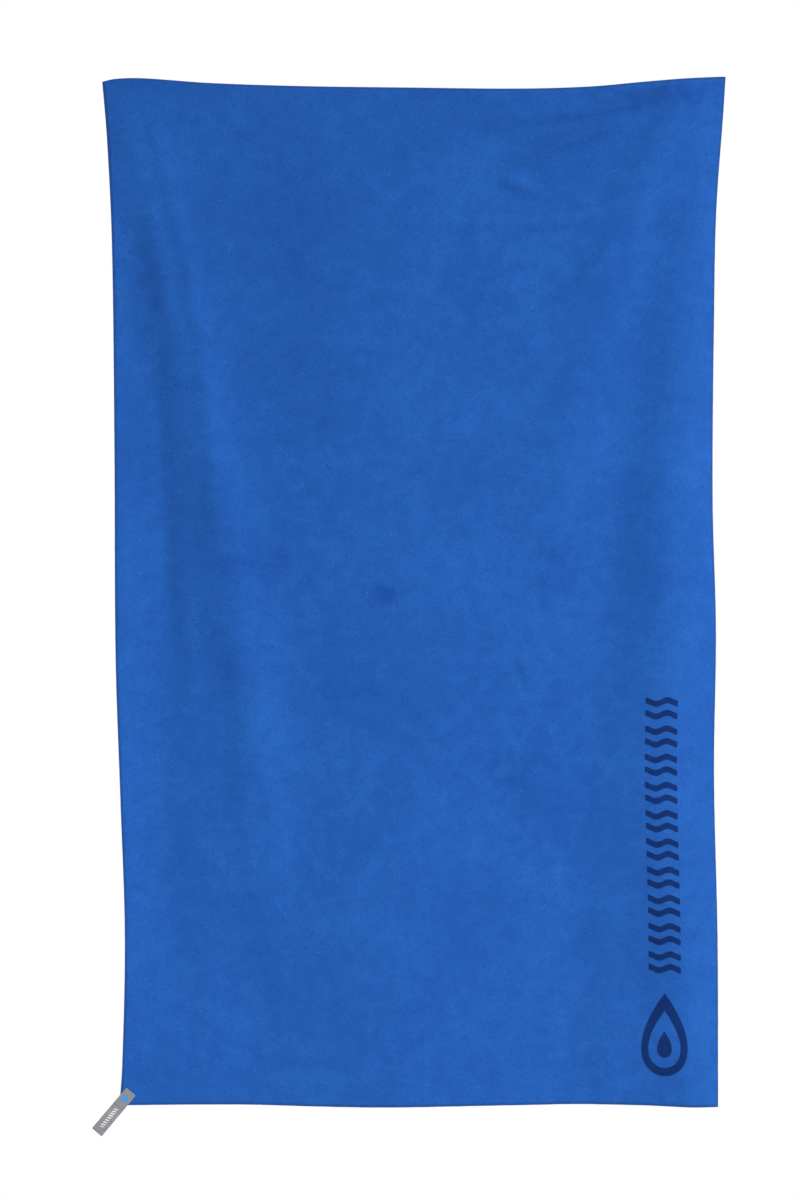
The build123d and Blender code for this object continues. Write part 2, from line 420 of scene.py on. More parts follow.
# ------------------------------------------------------------------ finishes
@dataclass(frozen=True)
class PaintedShadeSpot:
    """A spot of painted shade: the cloth's colour darkened where it hangs in shade.

    Its place is on the flat cloth, from the left edge and up from the bottom edge.
    """

    across: float
    up: float
    half_width: float
    half_height: float
    strength: float
    ragged: float = 1.5
    core: float = 0.1

    def tone(self, nodes: Nodes, place: Socket, mottle: Socket) -> tuple[Socket, float]:
        """How dark the painted shade is, 1 at the spot's middle, and its weight in the cloth's
        tone.

        The distance from the middle, as a share of the spot's size, is broken up by the
        mottle before it fades out.
        """
        local = nodes.add("Mapping", {"vector_type": "TEXTURE"},
                          {"Vector": place, "Location": (self.across, self.up, 0.0),
                           "Scale": (self.half_width, self.half_height, 1.0)})
        distance = nodes.add("VectorMath", {"operation": "LENGTH"}, {0: local.outputs[0]})
        broken = nodes.weigh(-0.5 * self.ragged,
                             [(mottle, self.ragged), (distance.outputs["Value"], 1.0)])
        spot = nodes.add("MapRange", SMOOTH,
                         {"Value": broken, "From Min": self.core, "From Max": 1.0,
                          "To Min": 1.0, "To Max": 0.0})
        return spot.outputs[0], -self.strength


@dataclass(frozen=True)
class SuedeMicrofibre:
    """Polyester and polyamide microfibre, warp knitted, split and brushed to a suede nap.

    The nap lies this way and that, which gives the eye soft lighter and darker patches, short
    strokes where fingers have turned it, and a faint bloom where it is seen edge-on. Spots of
    painted shade darken it where the hanging cloth lies in shade.
    """

    shade: str = "#15499D"
    base: str = "#1F5CB2"
    bright: str = "#2B71CB"
    print_shade: str = "#041F52"
    print_base: str = "#062C6A"
    print_bright: str = "#0E3D82"
    lint: str = "#8DB4EA"
    patch: float = 170 * MM
    mottle: float = 26 * MM
    grain: float = 2.6 * MM
    stroke_length: float = 9 * MM
    stroke_width: float = 1.7 * MM
    lint_spacing: float = 42 * MM
    lint_size: float = 0.8 * MM
    lint_share: float = 0.28
    lint_core: float = 0.004
    lint_strength: float = 0.55
    tone_start: float = -0.14
    patch_share: float = 0.50
    mottle_share: float = 0.54
    grain_share: float = 0.32
    stroke_share: float = -0.19
    stroke_turns: tuple[float, ...] = (12, 78, 131)
    relief: float = 1.2 * MM
    # painted shade: spots where the colour is darkened to stand for the shade on the hanging cloth;
    # the last is a band of painted shade along the top edge at the right
    pressed: tuple[PaintedShadeSpot, ...] = (
        PaintedShadeSpot(0.397, 0.750, 46 * MM, 24 * MM, 0.30),
        PaintedShadeSpot(0.205, 0.797, 66 * MM, 60 * MM, 0.14),
        PaintedShadeSpot(0.670, 0.783, 50 * MM, 70 * MM, 0.15),
        PaintedShadeSpot(0.060, 1.216, 30 * MM, 90 * MM, 0.12),
        PaintedShadeSpot(0.640, 0.470, 90 * MM, 170 * MM, 0.12),
        PaintedShadeSpot(0.545, 1.230, 80 * MM, 90 * MM, 0.10),
        PaintedShadeSpot(0.800, 1.478, 110 * MM, 26 * MM, 0.30),
    )
    pattern: SuedePrint = field(default_factory=SuedePrint)

    def material(self) -> bpy.types.Material:
        """The brushed suede material, with its print."""
        material, nodes = new_material("suede_microfibre")
        place = nodes.add("UVMap", {"uv_map": "cut"}).outputs["UV"]
        patches = nodes.add("TexNoise", {},
                            {"Vector": place, "Scale": 1 / self.patch, "Detail": 3.0,
                             "Roughness": 0.55, "Distortion": 0.5}).outputs["Fac"]
        mottle = nodes.add("TexNoise", {},
                           {"Vector": place, "Scale": 1 / self.mottle, "Detail": 4.0,
                            "Roughness": 0.62, "Distortion": 0.3}).outputs["Fac"]
        grain = nodes.add("TexNoise", {},
                          {"Vector": place, "Scale": 1 / self.grain, "Detail": 2.0,
                           "Roughness": 0.7}).outputs["Fac"]
        strokes = [self.strokes(nodes, place, turn) for turn in self.stroke_turns]
        # painted shade: each spot darkens the cloth's tone
        pressed = [spot.tone(nodes, place, mottle) for spot in self.pressed]
        tone = nodes.weigh(self.tone_start,
                           [(patches, self.patch_share), (mottle, self.mottle_share),
                            (grain, self.grain_share)] + pressed
                           + [(stroke, self.stroke_share) for stroke in strokes])
        plain = nodes.ramp(tone, [(0.0, self.shade), (0.5, self.base), (1.0, self.bright)])
        inked = nodes.ramp(tone, [(0.0, self.print_shade), (0.5, self.print_base),
                                  (1.0, self.print_bright)])
        mask = self.pattern.mask(nodes, place, grain)
        printed = nodes.add("Mix", COLOURS, {0: mask, 6: plain, 7: inked})
        dusted = nodes.add("Mix", COLOURS,
                           {0: self.specks(nodes, place), 6: printed.outputs[2],
                            7: linear(self.lint)})
        relief = nodes.weigh(0.0, [(mottle, 0.5), (grain, 0.55)]
                             + [(stroke, -0.25) for stroke in strokes])
        nodes.finish(dusted.outputs[2], relief, 0.35, self.relief,
                     {"Roughness": 0.92, "Specular IOR Level": 0.18, "Sheen Weight": 0.10,
                      "Sheen Roughness": 0.45, "Sheen Tint": linear("#A8C4F0")})
        return material

    def strokes(self, nodes: Nodes, place: Socket, turn: float) -> Socket:
        """Sparse short strokes of turned nap, at turn degrees to the towel's width."""
        turned = nodes.add("Mapping", {"vector_type": "TEXTURE"},
                           {"Vector": place, "Location": (turn * 0.37, turn * 0.11, 0.0),
                            "Rotation": (0.0, 0.0, math.radians(turn)),
                            "Scale": (self.stroke_length, self.stroke_width, 1.0)})
        noise = nodes.add("TexNoise", {"noise_dimensions": "2D"},
                          {"Vector": turned.outputs[0], "Scale": 1.0, "Detail": 1.0})
        sparse = nodes.add("MapRange", SMOOTH,
                           {"Value": noise.outputs["Fac"], "From Min": 0.60, "From Max": 0.78})
        return sparse.outputs[0]

    def specks(self, nodes: Nodes, place: Socket) -> Socket:
        """Specks of lint: the middles of some of the cells of a scattered pattern."""
        cells = nodes.add("TexVoronoi", {"voronoi_dimensions": "2D"},
                          {"Vector": place, "Scale": 1 / self.lint_spacing})
        near = nodes.add("MapRange", {},
                         {"Value": cells.outputs["Distance"],
                          "From Min": self.lint_size / self.lint_spacing,
                          "From Max": self.lint_core, "To Min": 0.0,
                          "To Max": self.lint_strength})
        split = nodes.add("SeparateColor", {}, {0: cells.outputs["Color"]})
        some = nodes.work_out(split.outputs[0], ("GREATER_THAN", 1 - self.lint_share))
        return nodes.work_out(near.outputs[0], ("MULTIPLY", some))


@dataclass(frozen=True)
class SpunThread:
    """Spun polyester sewing thread: a soft, slightly hairy yarn whose twist shows as slanting
    lines, darker between them."""

    name: str
    base: str
    shade: str
    twist: float = 0.9 * MM

    def material(self) -> bpy.types.Material:
        """The thread's material."""
        material, nodes = new_material(self.name)
        place = nodes.add("UVMap", {"uv_map": "cut"}).outputs["UV"]
        spot = nodes.add("TexCoord").outputs["Object"]
        twist = nodes.add("TexWave", {"bands_direction": "DIAGONAL"},
                          {"Vector": place, "Scale": WAVE_PITCH / self.twist, "Distortion": 1.5,
                           "Detail": 1.0}).outputs["Fac"]
        fuzz = nodes.add("TexNoise", {},
                         {"Vector": spot, "Scale": 1 / (1.6 * MM), "Detail": 2.0}).outputs["Fac"]
        tone = nodes.weigh(0.0, [(twist, 0.45), (fuzz, 0.75)])
        colour = nodes.ramp(tone, [(0.1, self.shade), (0.8, self.base)])
        nodes.finish(colour, tone, 0.5, 0.15 * MM,
                     {"Roughness": 0.7, "Specular IOR Level": 0.3, "Sheen Weight": 0.15,
                      "Sheen Roughness": 0.4})
        return material


@dataclass(frozen=True)
class WovenRibbon:
    """Grey polyester ribbon, woven with fine ribs across it and a tighter selvedge down each
    side, and printed on its front leg with a row of plain slanting marks and one drop.

    Sizes are on the flat ribbon: across from its left side, along from its front sewn end.
    """

    width: float
    base: str = "#939598"
    shade: str = "#77797D"
    mark: str = "#F1F3F6"
    drop: str = "#4C95DC"
    warp: float = 0.55 * MM
    rib: float = 0.9 * MM
    selvedge: float = 1.1 * MM
    marks_start: float = 30.5 * MM
    marks_end: float = 66.5 * MM
    mark_pitch: float = 4.0 * MM
    mark_thick: float = 1.9 * MM
    mark_half_width: float = 2.8 * MM
    mark_slant: float = 0.45
    mark_corner: float = 0.5 * MM
    drop_start: float = 6.0 * MM
    drop_length: float = 13 * MM
    drop_half_width: float = 4.9 * MM

    def printing(self, nodes: Nodes, side: Socket, along: Socket) -> tuple[Socket, ...]:
        """Where the slanting marks and the drop are printed.

        Args:
            nodes: the nodes of the material.
            side: distance from the ribbon's middle line.
            along: distance from its front sewn end.

        Returns:
            Two outputs, 0 to 1: the marks and the drop.
        """
        slanted = nodes.weigh(along, [(side, self.mark_slant)])
        inside = nodes.work_out(slanted, ("FLOORED_MODULO", self.mark_pitch),
                                ("SUBTRACT", self.mark_pitch / 2), ("ABSOLUTE",),
                                ("MULTIPLY_ADD", -1.0, self.mark_thick / 2))
        reach = nodes.work_out(side, ("ABSOLUTE",), ("MULTIPLY_ADD", -1.0, self.mark_half_width))
        after = nodes.work_out(slanted, ("SUBTRACT", self.marks_start))
        before = nodes.work_out(slanted, ("MULTIPLY_ADD", -1.0, self.marks_end))
        limits = [("SMOOTH_MIN", limit, self.mark_corner) for limit in (reach, after, before)]
        inside = nodes.work_out(inside, *limits)
        blot = nodes.drop(side, along, self.drop_start, self.drop_length, self.drop_half_width)
        masks = [nodes.add("MapRange", SMOOTH,
                           {"Value": shape, "From Min": 0.0, "From Max": 0.25 * MM}).outputs[0]
                 for shape in (inside, blot)]
        return tuple(masks)

    def material(self) -> bpy.types.Material:
        """The ribbon's material."""
        material, nodes = new_material("woven_polyester_ribbon")
        place = nodes.add("UVMap", {"uv_map": "cut"}).outputs["UV"]
        split = nodes.add("SeparateXYZ", {}, {0: place})
        side = nodes.work_out(split.outputs["X"], ("SUBTRACT", self.width / 2))
        along = split.outputs["Y"]
        warp = nodes.add("TexWave", {"bands_direction": "X"},
                         {"Vector": place, "Scale": WAVE_PITCH / self.warp, "Distortion": 0.6,
                          "Detail": 1.0, "Detail Scale": 2.0}).outputs["Fac"]
        ribs = nodes.add("TexWave", {"bands_direction": "Y"},
                         {"Vector": place, "Scale": WAVE_PITCH / self.rib, "Distortion": 0.4,
                          "Detail": 1.0, "Detail Scale": 3.0}).outputs["Fac"]
        worn = nodes.add("TexNoise", {},
                         {"Vector": place, "Scale": 1 / (7 * MM), "Detail": 4.0,
                          "Roughness": 0.6}).outputs["Fac"]
        away = nodes.work_out(side, ("ABSOLUTE",))
        edge = nodes.add("MapRange", SMOOTH,
                         {"Value": away, "From Min": self.width / 2 - self.selvedge,
                          "From Max": self.width / 2 - self.selvedge / 2}).outputs[0]
        tone = nodes.weigh(-0.05, [(warp, 0.22), (ribs, 0.30), (worn, 0.70), (edge, -0.12)])
        cloth = nodes.ramp(tone, [(0.1, self.shade), (0.7, self.base)])
        marks, blot = self.printing(nodes, side, along)
        marked = nodes.add("Mix", COLOURS, {0: marks, 6: cloth, 7: linear(self.mark)})
        both = nodes.add("Mix", COLOURS, {0: blot, 6: marked.outputs[2], 7: linear(self.drop)})
        height = nodes.weigh(0.0, [(warp, 0.4), (ribs, 0.6), (edge, 0.5)])
        nodes.finish(both.outputs[2], height, 0.6, 0.12 * MM,
                     {"Roughness": 0.55, "Specular IOR Level": 0.4, "Sheen Weight": 0.1})
        return material


@dataclass(frozen=True)
class SatinTape:
    """White woven satin label tape: long floats give it a soft gloss that runs across the
    weave, with fine lines down it and a sealed, slightly greyer edge."""

    width: float
    base: str = "#F3F3F0"
    shade: str = "#D9DAD8"
    yarn: float = 0.5 * MM
    sealed: float = 0.8 * MM

    def material(self) -> bpy.types.Material:
        """The tape's material."""
        material, nodes = new_material("woven_satin_tape")
        place = nodes.add("UVMap", {"uv_map": "cut"}).outputs["UV"]
        split = nodes.add("SeparateXYZ", {}, {0: place})
        away = nodes.work_out(split.outputs["X"], ("SUBTRACT", self.width / 2), ("ABSOLUTE",))
        edge = nodes.add("MapRange", SMOOTH,
                         {"Value": away, "From Min": self.width / 2 - self.sealed,
                          "From Max": self.width / 2}).outputs[0]
        yarns = nodes.add("TexWave", {"bands_direction": "X"},
                          {"Vector": place, "Scale": WAVE_PITCH / self.yarn, "Distortion": 0.8,
                           "Detail": 1.0}).outputs["Fac"]
        cloud = nodes.add("TexNoise", {},
                          {"Vector": place, "Scale": 1 / (9 * MM), "Detail": 3.0}).outputs["Fac"]
        tone = nodes.weigh(0.2, [(yarns, 0.25), (cloud, 0.7), (edge, -0.6)])
        colour = nodes.ramp(tone, [(0.0, self.shade), (0.6, self.base)])
        nodes.finish(colour, yarns, 0.4, 0.06 * MM,
                     {"Roughness": 0.38, "Anisotropic": 0.5, "Sheen Weight": 0.1})
        return material


@dataclass(frozen=True)
class StudioFloor:
    """Pale matt vinyl studio floor, with the faintest clouding."""

    base: str = "#ECECEC"
    shade: str = "#E4E4E5"

    def material(self) -> bpy.types.Material:
        """The floor's material."""
        material, nodes = new_material("matt_studio_floor")
        spot = nodes.add("TexCoord").outputs["Object"]
        cloud = nodes.add("TexNoise", {}, {"Vector": spot, "Scale": 3.0})
        colour = nodes.ramp(cloud.outputs["Fac"], [(0.3, self.shade), (0.7, self.base)])
        shader = nodes.add("BsdfPrincipled", {}, {"Base Color": colour, "Roughness": 0.85})
        nodes.add("OutputMaterial", {}, {"Surface": shader.outputs[0]})
        return material


# ------------------------------------------------------------------ how the cloth hangs
@dataclass(frozen=True)
class Run:
    """A smooth curve through (t, value) points, in either order of t."""

    points: tuple[tuple[float, float], ...]

    def at(self, t: Array) -> Array:
        """The cubic Hermite curve's value at t.

        Each point's slope is that of the line joining its two neighbours, and beyond its ends
        the curve keeps its end value.
        """
        ts, values = np.array(sorted(self.points)).T
        order = np.arange(len(ts))
        before = np.maximum(order - 1, 0)
        after = np.minimum(order + 1, len(ts) - 1)
        slopes = (values[after] - values[before]) / (ts[after] - ts[before])
        t = np.clip(t, ts[0], ts[-1])
        i = np.clip(np.searchsorted(ts, t) - 1, 0, len(ts) - 2)
        span = ts[i + 1] - ts[i]
        s = (t - ts[i]) / span
        return ((2 * s**3 - 3 * s**2 + 1) * values[i] + (3 * s**2 - 2 * s**3) * values[i + 1]
                + ((s**3 - 2 * s**2 + s) * slopes[i] + (s**3 - s**2) * slopes[i + 1]) * span)


@dataclass(frozen=True)
class Fold:
    """A rounded fold that runs down the cloth.

    The three values of each pair are for the top, half way down and the bottom: where the
    fold's middle line is, and how far it stands towards the front.
    """

    x: tuple[float, float, float]
    half_width: float
    depth: tuple[float, float, float]

    @staticmethod
    def parabola(values: tuple[float, float, float], t: Array) -> Array:
        """The parabola through the three values at t = 0, 0.5 and 1."""
        start, middle, end = values
        return start * (1 - t) * (1 - 2 * t) + middle * 4 * t * (1 - t) + end * t * (2 * t - 1)

    def height(self, x: Array, drop: Array) -> Array:
        """A bell across the cloth about the fold's middle line, as high as its depth there."""
        off = (x - self.parabola(self.x, drop)) / self.half_width
        return self.parabola(self.depth, drop) * np.exp(-off**2)


@dataclass(frozen=True)
class Crease:
    """A small crease: a bell across a bowed line that fades out at both ends."""

    start: tuple[float, float]
    end: tuple[float, float]
    bow: float
    half_width: float
    depth: float

    def height(self, x: Array, z: Array) -> Array:
        """Its depth, times a bell of the distance from its line, times a sine along it."""
        along = np.array(self.end) - np.array(self.start)
        length = np.hypot(*along)
        along = along / length
        dx, dz = x - self.start[0], z - self.start[1]
        share = np.clip((dx * along[0] + dz * along[1]) / length, 0, 1)
        off = dz * along[0] - dx * along[1] - self.bow * 4 * share * (1 - share)
        return self.depth * np.exp(-(off / self.half_width) ** 2) * np.sin(np.pi * share)


@dataclass(frozen=True)
class Drape:
    """The form in which the towel hangs: its four edges, its folds and its small creases."""

    cut_width: float = 0.900
    cut_length: float = 1.500
    top: Run = Run(((-0.457, -0.005), (-0.438, -0.001), (-0.400, 0.0), (-0.300, -0.007),
                    (-0.150, -0.012), (0.0, -0.014), (0.150, -0.015), (0.250, -0.012),
                    (0.330, -0.005), (0.400, 0.0), (0.447, 0.003)))
    bottom: Run = Run(((-0.432, -1.489), (-0.300, -1.488), (-0.050, -1.491), (0.260, -1.488),
                       (0.436, -1.492)))
    left: Run = Run(((-0.005, -0.457), (-0.090, -0.450), (-0.240, -0.443), (-0.530, -0.439),
                     (-0.840, -0.437), (-1.050, -0.430), (-1.240, -0.424), (-1.430, -0.428),
                     (-1.489, -0.432)))
    right: Run = Run(((0.003, 0.447), (-0.050, 0.444), (-0.190, 0.434), (-0.330, 0.431),
                      (-0.610, 0.429), (-0.800, 0.434), (-1.010, 0.431), (-1.250, 0.436),
                      (-1.492, 0.436)))
    folds: tuple[Fold, ...] = (
        Fold((-0.475, -0.452, -0.452), 0.045, (-0.004, 0.008, 0.002)),
        Fold((-0.420, -0.385, -0.350), 0.036, (-0.002, -0.005, -0.006)),
        Fold((-0.440, -0.268, -0.200), 0.038, (0.004, 0.010, 0.0)),
        Fold((-0.250, -0.180, -0.258), 0.050, (0.0, -0.002, -0.008)),
        Fold((-0.060, -0.050, -0.052), 0.115, (0.005, 0.005, 0.008)),
        Fold((0.385, 0.165, 0.060), 0.036, (0.011, 0.001, 0.0)),
        Fold((0.400, 0.270, 0.225), 0.046, (-0.001, -0.007, -0.005)),
        Fold((0.440, 0.360, 0.400), 0.044, (0.004, 0.008, 0.010)),
        Fold((0.478, 0.465, 0.462), 0.052, (-0.022, -0.021, -0.010)),
    )
    creases: tuple[Crease, ...] = (
        Crease((0.385, -0.024), (0.080, -0.066), 0.003, 0.011, 0.0066),
        Crease((0.335, -0.060), (0.120, -0.150), -0.018, 0.011, 0.0085),
        Crease((0.112, -0.140), (0.192, -0.172), 0.000, 0.010, 0.0045),
        Crease((0.325, -0.160), (0.140, -0.216), 0.014, 0.011, 0.0085),
        Crease((0.290, -0.235), (0.200, -0.330), 0.006, 0.013, 0.0060),
        Crease((-0.405, -0.015), (-0.290, -0.640), 0.026, 0.014, 0.0022),
        Crease((-0.420, -0.015), (-0.320, -0.600), 0.022, 0.014, -0.0020),
        Crease((-0.385, -0.350), (-0.355, -0.980), 0.006, 0.016, -0.0030),
        Crease((-0.085, -0.728), (-0.020, -0.770), 0.004, 0.014, -0.0018),
        Crease((0.128, -0.835), (0.156, -0.900), 0.003, 0.008, -0.0016),
        Crease((0.142, -0.830), (0.170, -0.890), 0.003, 0.007, 0.0013),
        Crease((-0.250, -0.980), (-0.225, -1.180), 0.010, 0.013, -0.0015),
        Crease((0.020, -1.240), (0.060, -1.420), -0.008, 0.015, 0.0012),
    )
    fold_at_edge: float = 0.35
    fold_growth: float = 0.060
    corner: tuple[float, float] = (-0.432, -1.489)
    corner_flat: float = 0.090
    corner_blend: float = 0.300
    pucker: float = 0.5 * MM
    pucker_reach: float = 11 * MM
    pucker_length: float = 43 * MM
    slope_step: float = 0.5 * MM

    def puckers(self, x: Array, z: Array) -> Array:
        """Shallow waves that the edging draws into both sides and the foot of the cloth.

        Each is the sum of two sines along the edge, dying away with the distance from it.
        """
        total = np.zeros(np.broadcast(x, z).shape)
        for run, distance in ((z, x - self.left.at(z)), (z + 0.31, self.right.at(z) - x),
                              (x + 0.17, z - self.bottom.at(x))):
            phase = 2 * np.pi * run / self.pucker_length
            wave = 0.6 * np.sin(phase) + 0.4 * np.sin(1.7 * phase + 1.0)
            total += self.pucker * wave * np.exp(-np.clip(distance, 0, 1) / self.pucker_reach)
        return total

    def forward(self, x: Array, z: Array) -> Array:
        """How far the cloth stands towards the front.

        The folds grow from a share of their depth at the taut top edge, and everything fades
        along a smooth step towards the corner that the ribbon holds flat.
        """
        drop = np.clip(z / self.bottom.points[0][1], 0, 1)
        growth = 1 - np.exp(np.minimum(z, 0) / self.fold_growth)
        grown = self.fold_at_edge + (1 - self.fold_at_edge) * growth
        total = sum(fold.height(x, drop) for fold in self.folds) * grown
        total = total + sum(crease.height(x, z) for crease in self.creases)
        total = total + self.puckers(x, z) * growth
        distance = np.hypot(x - self.corner[0], z - self.corner[1])
        loose = (distance - self.corner_flat) / (self.corner_blend - self.corner_flat)
        return total * smooth_step(loose)

    def point(self, x: Array, z: Array, lift: Array | float = 0.0) -> Array:
        """Points of the cloth's middle surface, moved lift towards the back."""
        x, z, lift = np.broadcast_arrays(x, z, lift)
        return np.stack([x, lift - self.forward(x, z), z], axis=-1)

    def front_normal(self, x: Array, z: Array) -> Array:
        """Unit vectors square to the cloth on its front, from the slopes either side."""
        step = self.slope_step
        slope_x = (self.forward(x + step, z) - self.forward(x - step, z)) / (2 * step)
        slope_z = (self.forward(x, z + step) - self.forward(x, z - step)) / (2 * step)
        return unit(np.stack([-slope_x, -np.ones_like(slope_x), -slope_z], axis=-1))

    def place(self, across: Array, down: Array) -> tuple[Array, Array]:
        """x and z of shares across and down the towel: blends between its opposite edges."""
        foot = self.bottom.points
        head = self.top.points
        top = self.top.at(head[0][0] + (head[-1][0] - head[0][0]) * across)
        low = self.bottom.at(foot[0][0] + (foot[-1][0] - foot[0][0]) * across)
        start = self.left.at(head[0][1] + (foot[0][1] - head[0][1]) * down)
        end = self.right.at(head[-1][1] + (foot[-1][1] - head[-1][1]) * down)
        return start + (end - start) * across, top + (low - top) * down


# ------------------------------------------------------------------ the towel's pieces
@dataclass
class Cloth:
    """The sheet of suede microfibre itself."""

    drape: Drape
    thickness: float = 0.8 * MM
    columns: int = 165
    rows: int = 279
    back_shift: float = 1.6
    finish: SuedeMicrofibre = field(default_factory=SuedeMicrofibre)

    def build(self) -> Piece:
        """Makes the sheet from a grid of its middle surface, and dresses it."""
        across, down = np.meshgrid(np.linspace(0, 1, self.columns), np.linspace(0, 1, self.rows))
        x, z = self.drape.place(across, down)
        cut = np.stack([across * self.drape.cut_width, (1 - down) * self.drape.cut_length], -1)
        piece = sheet_piece("suede_cloth", self.drape.point(x, z), cut, self.thickness)
        self.part_back(piece.data)
        piece.data.materials.append(self.finish.material())
        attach(piece, Body.TOWEL.value)
        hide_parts("towel_cloth")
        return piece

    def part_back(self, mesh: bpy.types.Mesh) -> None:
        """Moves the back's places on the flat material aside, past the print.

        The back then has a nap of its own and carries no print.

        Args:
            mesh: the sheet's mesh, whose front faces -Y.
        """
        faces, corners = len(mesh.polygons), len(mesh.loops)
        normals, sizes = np.zeros(faces * 3, np.float32), np.zeros(faces, np.int32)
        places = np.zeros(corners * 2, np.float32)
        mesh.polygons.foreach_get("normal", normals)
        mesh.polygons.foreach_get("loop_total", sizes)
        layer = mesh.uv_layers["cut"].data
        layer.foreach_get("uv", places)
        behind = np.repeat(normals[1::3] > 0.5, sizes)
        places[::2] += self.back_shift * behind
        layer.foreach_set("uv", places)


@dataclass
class Overlock:
    """The overlocked edging: thread wrapped over the cloth's edge, locked by a chain along
    its inner side on both faces."""

    drape: Drape
    width: float = 3.0 * MM
    thickness: float = 1.2 * MM
    overhang: float = 0.4 * MM
    end_gap: float = 0.3 * MM
    pitch: float = 1.7 * MM
    turn_points: int = 8
    thread_height: float = 0.17 * MM
    thread_width: float = 0.44 * MM
    chain_pitch: float = 3.4 * MM
    chain_points: int = 5
    chain_sway: float = 0.32 * MM
    chain_radius: float = 0.2 * MM
    chain_inset: float = 0.1 * MM
    chain_sink: float = 0.02 * MM
    sides: int = 5
    finish: SpunThread = SpunThread("overlock_polyester_thread", "#1B5AB2", "#0D3E86")

    def build(self) -> list[Piece]:
        """Makes the edging of the four sides, each one piece, and dresses them."""
        material = self.finish.material()
        inset = self.width - self.overhang + self.end_gap
        drape = self.drape
        runs = {
            "left": (drape.left, True, 1.0, self.overhang),
            "right": (drape.right, True, -1.0, self.overhang),
            "top": (drape.top, False, -1.0, inset),
            "bottom": (drape.bottom, False, 1.0, inset),
        }
        pieces = []
        for name, (run, upright, inward, short) in runs.items():
            piece = self.side(f"overlock_{name}", run, upright, inward, short)
            piece.data.materials.append(material)
            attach(piece, Body.TOWEL.value)
            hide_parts(f"edging_{name}")
            pieces.append(piece)
        return pieces

    def side(self, name: str, run: Run, upright: bool, inward: float, short: float) -> Piece:
        """The edging of one side.

        The wrapping thread is a flattened helix about the band's middle line: inward by the
        cosine of its angle and off the cloth by the sine, while it moves on by the pitch each
        turn. The chains sway in and out on the two faces along the band's inner side.

        Args:
            name: the piece's name.
            run: the edge's curve.
            upright: whether the curve runs down a side, with z as its variable.
            inward: +1 or -1, the direction from the edge into the cloth.
            short: how far short of the curve's ends the band stops.

        Returns:
            The new object.
        """
        low, high = sorted((run.points[0][0], run.points[-1][0]))
        low, high = low + short, high - short
        turns = round((high - low) / self.pitch)
        angle = np.linspace(0, 2 * np.pi * turns, turns * self.turn_points + 1)
        t = low + (high - low) * angle / angle[-1]
        reach = self.width / 2 - self.thread_height
        middle = self.width / 2 - self.overhang
        depth = self.thickness / 2 - self.thread_height
        offset = middle + reach * np.cos(angle)
        wrap, normal = self.band(run, upright, inward, t, offset, depth * np.sin(angle))
        across = np.zeros_like(wrap)
        across[:, 0 if upright else 2] = inward
        outward = unit(across * np.cos(angle)[:, None] / reach
                       + normal * np.sin(angle)[:, None] / depth)
        pieces = [tube_piece(name, wrap[None], outward[None], self.thread_height,
                             self.thread_width, self.sides)]
        links = round((high - low) / self.chain_pitch)
        sway = np.linspace(0, 2 * np.pi * links, links * self.chain_points + 1)
        t = low + (high - low) * sway / sway[-1]
        offset = middle + reach - self.chain_inset + self.chain_sway * np.sin(sway)
        for face in (-1, 1):
            height = face * (depth - self.chain_sink)
            chain, normal = self.band(run, upright, inward, t, offset, height)
            pieces.append(tube_piece(f"{name}_chain", chain[None], normal[None],
                                     self.chain_radius, self.chain_radius, self.sides))
        return self.join(pieces)

    def band(self, run: Run, upright: bool, inward: float, t: Array, offset: Array,
             height: Array | float) -> tuple[Array, Array]:
        """Points beside an edge, offset into the cloth and height off its front, and the
        cloth's front normals there."""
        place = run.at(t) + inward * offset
        x, z = (place, t) if upright else (t, place)
        normal = self.drape.front_normal(x, z)
        height = np.broadcast_to(height, t.shape)
        return self.drape.point(x, z) + normal * height[:, None], normal

    @staticmethod
    def join(pieces: list[Piece]) -> Piece:
        """Joins pieces into the first of them, and returns it."""
        with bpy.context.temp_override(active_object=pieces[0],
                                       selected_editable_objects=pieces):
            bpy.ops.object.join()
        return pieces[0]


